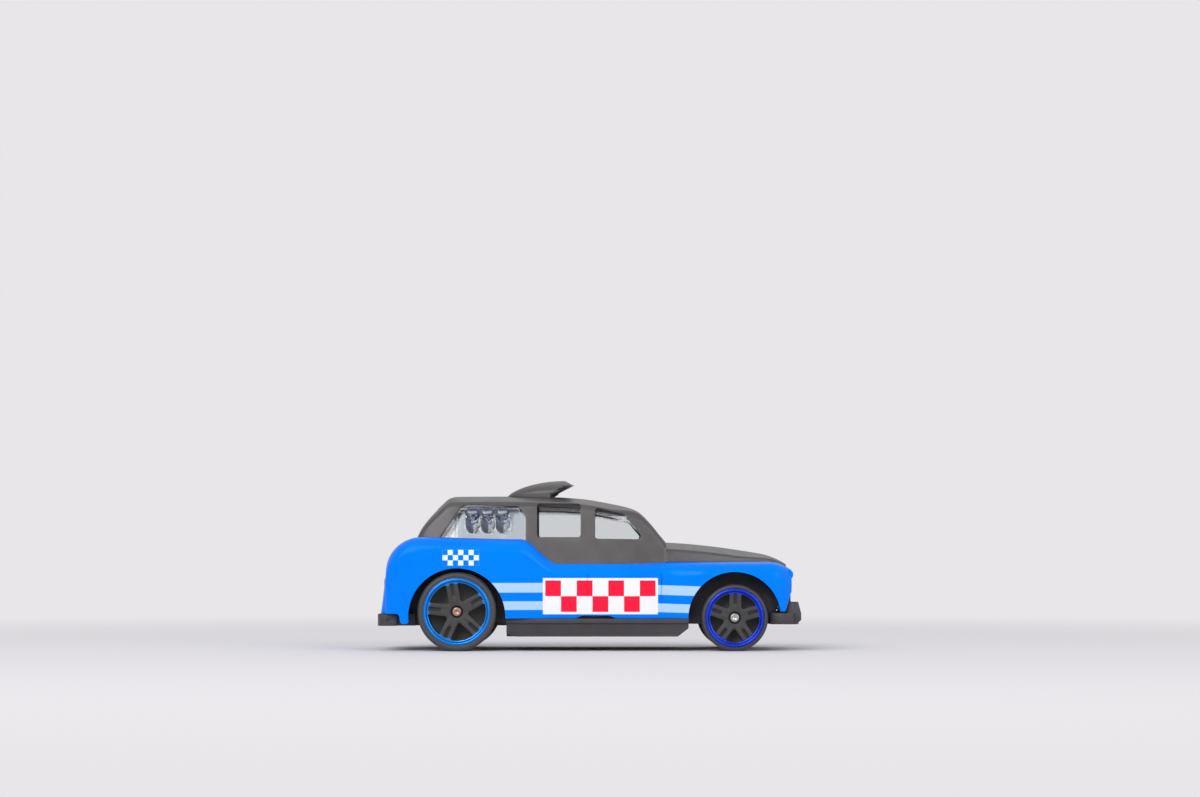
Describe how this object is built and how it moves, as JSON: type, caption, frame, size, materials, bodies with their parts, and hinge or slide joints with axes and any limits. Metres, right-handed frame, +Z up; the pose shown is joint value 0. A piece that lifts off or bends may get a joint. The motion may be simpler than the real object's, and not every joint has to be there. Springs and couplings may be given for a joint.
{
  "type": "toy taxi",
  "caption": "Small die-cast toy taxi with a two-tone body, roof scoop, clear side stacks, glazed cabin and free-rolling wheels on axles.",
  "frame": {"origin": "on the ground under the middle of the car's length and width", "axes": "+X forward along the car, +Y to the car's left, +Z up"},
  "size_m": [0.07, 0.0292, 0.0284],
  "materials": {
    "blue_paint": "satin",
    "black_shell": "satin",
    "clear_plastic": "gloss",
    "stack_plastic": "gloss",
    "grey_plastic": "matte",
    "black_base": "satin",
    "rivet_metal": "satin",
    "axle_steel": "satin",
    "wheel_plastic": "satin"
  },
  "bodies": {
    "car": {"lower_body": "blue_paint", "upper_body": "black_shell", "roof_scoop": "black_shell", "clear_insert": "clear_plastic", "left_stacks": "stack_plastic", "right_stacks": "stack_plastic", "interior_tub": "grey_plastic", "chassis": "black_base", "base_rivets": "rivet_metal"},
    "front_axle_body": {"front_axle": "axle_steel"},
    "rear_axle_body": {"rear_axle": "axle_steel"},
    "front_left_wheel_body": {"front_left_wheel": "wheel_plastic"},
    "front_right_wheel_body": {"front_right_wheel": "wheel_plastic"},
    "rear_left_wheel_body": {"rear_left_wheel": "wheel_plastic"},
    "rear_right_wheel_body": {"rear_right_wheel": "wheel_plastic"}
  },
  "joints": [
    {"name": "front_axle_spin", "type": "hinge", "parent": "car", "child": "front_axle_body", "pos_m": [0.02395, 0, 0.0055], "axis": [0, 1, 0], "continuous": true},
    {"name": "rear_axle_spin", "type": "hinge", "parent": "car", "child": "rear_axle_body", "pos_m": [-0.02185, 0, 0.0065], "axis": [0, 1, 0], "continuous": true},
    {"name": "front_left_wheel_spin", "type": "hinge", "parent": "front_axle_body", "child": "front_left_wheel_body", "pos_m": [0.02395, 0, 0.0055], "axis": [0, 1, 0], "continuous": true},
    {"name": "front_right_wheel_spin", "type": "hinge", "parent": "front_axle_body", "child": "front_right_wheel_body", "pos_m": [0.02395, 0, 0.0055], "axis": [0, 1, 0], "continuous": true},
    {"name": "rear_left_wheel_spin", "type": "hinge", "parent": "rear_axle_body", "child": "rear_left_wheel_body", "pos_m": [-0.02185, 0, 0.0065], "axis": [0, 1, 0], "continuous": true},
    {"name": "rear_right_wheel_spin", "type": "hinge", "parent": "rear_axle_body", "child": "rear_right_wheel_body", "pos_m": [-0.02185, 0, 0.0065], "axis": [0, 1, 0], "continuous": true}
  ]
}
